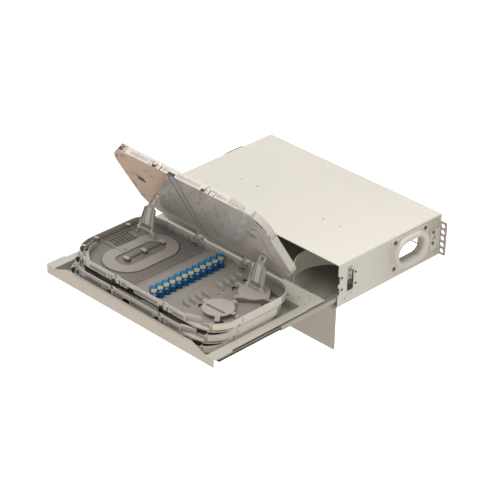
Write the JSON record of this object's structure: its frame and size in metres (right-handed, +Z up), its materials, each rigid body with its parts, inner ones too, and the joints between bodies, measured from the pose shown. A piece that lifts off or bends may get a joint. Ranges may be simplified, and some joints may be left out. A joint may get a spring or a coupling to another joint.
{
  "type": "fibre management shelf",
  "caption": "Two-unit rack shelf with a sliding drawer of hinged splice trays, a drop-down front door, folding prop arms, spring latches and flared side cable inlets.",
  "frame": {"origin": "centre of the rack screw pattern on the rear faces of the two rack ears", "axes": "+X to the right seen from the front, +Y to the rear of the rack, +Z up"},
  "size_m": [0.4826, 0.5898, 0.3383],
  "materials": {
    "cover": "satin off-white powder coat",
    "housing_base": "satin off-white powder coat",
    "door": "satin warm grey powder coat",
    "drawer": "satin light grey powder coat",
    "slide": "zinc-plated",
    "ear": "satin grey powder coat",
    "screw": "zinc-plated",
    "latch": "bright zinc",
    "inlet_frame": "satin grey",
    "bellmouth": "smooth light grey-beige",
    "trim": "natural nylon",
    "band": "flexible plastic",
    "tray": "fine-textured warm grey plastic",
    "adaptor_blue": "blue plastic",
    "adaptor_cream": "cream plastic",
    "prop": "smooth warm grey plastic",
    "pin": "plain steel pin"
  },
  "bodies": {
    "housing": {"housing_cover": "cover", "housing_base": "housing_base", "door_hinge_pins": "pin", "ear_screws": "screw", "inlet_screws": "screw", "latch_rivets": "screw", "rack_ear_right": "ear", "rack_ear_left": "ear", "inlet_frame_right": "inlet_frame", "inlet_frame_left": "inlet_frame", "inlet_bellmouth_right": "bellmouth", "inlet_bellmouth_left": "bellmouth", "latch_plate_right": "latch", "latch_plate_left": "latch", "outer_slide_right": "slide", "outer_slide_left": "slide"},
    "front_door": {"front_door": "door"},
    "latch_right": {"latch_hook_right": "latch"},
    "latch_left": {"latch_hook_left": "latch"},
    "middle_slide_right": {"middle_slide_right": "slide"},
    "middle_slide_left": {"middle_slide_left": "slide"},
    "drawer": {"drawer_base": "drawer", "drawer_front": "drawer", "edge_trim": "trim", "rear_deck": "drawer", "guide_band": "band", "hinge_brackets": "drawer", "inner_slide_right": "slide", "inner_slide_left": "slide", "side_rail_right": "drawer", "side_rail_left": "drawer", "tray_4_hinge_pins": "pin"},
    "tray_4": {"tray_4_pan": "tray", "tray_4_adaptor_sleeves": "adaptor_blue", "tray_4_adaptor_cores": "adaptor_cream", "tray_3_hinge_pins": "pin"},
    "tray_3": {"tray_3_pan": "tray", "tray_3_adaptor_sleeves": "adaptor_blue", "tray_3_adaptor_cores": "adaptor_cream", "tray_2_hinge_pins": "pin"},
    "tray_2": {"tray_2_pan": "tray", "tray_2_adaptor_sleeves": "adaptor_blue", "tray_2_adaptor_cores": "adaptor_cream", "tray_1_hinge_pins": "pin", "prop_arm_pins": "pin"},
    "tray_1": {"tray_1_pan": "tray", "tray_1_adaptor_sleeves": "adaptor_blue", "tray_1_adaptor_cores": "adaptor_cream"},
    "prop_arm_left": {"prop_arm_left": "prop"},
    "prop_arm_right": {"prop_arm_right": "prop"}
  },
  "joints": [
    {"name": "door_hinge", "type": "hinge", "parent": "housing", "child": "front_door", "pos_m": [0, -0.2807, -0.0414], "axis": [-1, 0, 0], "range_deg": [0, 88]},
    {"name": "latch_spring_right", "type": "hinge", "parent": "housing", "child": "latch_right", "pos_m": [0.2241, -0.2495, 0.0108], "axis": [0, -1, 0], "range_deg": [0, 8], "stiffness_Nm_per_rad": 0.02},
    {"name": "latch_spring_left", "type": "hinge", "parent": "housing", "child": "latch_left", "pos_m": [-0.2241, -0.2495, 0.0108], "axis": [0, 1, 0], "range_deg": [0, 8], "stiffness_Nm_per_rad": 0.02},
    {"name": "drawer_slide", "type": "slide", "parent": "housing", "child": "drawer", "axis": [0, -1, 0], "range_m": [-0.055, 0]},
    {"name": "middle_slide_run_right", "type": "slide", "parent": "housing", "child": "middle_slide_right", "axis": [0, -1, 0], "range_m": [-0.0275, 0]},
    {"name": "middle_slide_run_left", "type": "slide", "parent": "housing", "child": "middle_slide_left", "axis": [0, -1, 0], "range_m": [-0.0275, 0]},
    {"name": "tray_4_lift", "type": "hinge", "parent": "drawer", "child": "tray_4", "pos_m": [0.005, -0.3769, -0.0184], "axis": [-1, 0, 0], "range_deg": [0, 20]},
    {"name": "tray_3_lift", "type": "hinge", "parent": "tray_4", "child": "tray_3", "pos_m": [0.005, -0.3655, -0.0006], "axis": [-1, 0, 0], "range_deg": [0, 20]},
    {"name": "tray_2_lift", "type": "hinge", "parent": "tray_3", "child": "tray_2", "pos_m": [0.005, -0.3541, 0.0172], "axis": [-1, 0, 0], "range_deg": [0, 20]},
    {"name": "tray_1_lift", "type": "hinge", "parent": "tray_2", "child": "tray_1", "pos_m": [0.005, -0.3427, 0.035], "axis": [-1, 0, 0], "range_deg": [-57.8, 0]},
    {"name": "prop_arm_swing_left", "type": "hinge", "parent": "tray_2", "child": "prop_arm_left", "pos_m": [-0.145, -0.4061, 0.0194], "axis": [-1, 0, 0], "range_deg": [-106, 0]},
    {"name": "prop_arm_swing_right", "type": "hinge", "parent": "tray_2", "child": "prop_arm_right", "pos_m": [0.1395, -0.4061, 0.0194], "axis": [-1, 0, 0], "range_deg": [-106, 0]}
  ],
  "couplings": [
    {"joint": "middle_slide_run_right", "follows": "drawer_slide", "ratio": 0.5},
    {"joint": "middle_slide_run_left", "follows": "drawer_slide", "ratio": 0.5},
    {"joint": "prop_arm_swing_left", "follows": "tray_1_lift", "ratio": 1.8339},
    {"joint": "prop_arm_swing_right", "follows": "tray_1_lift", "ratio": 1.8339}
  ]
}
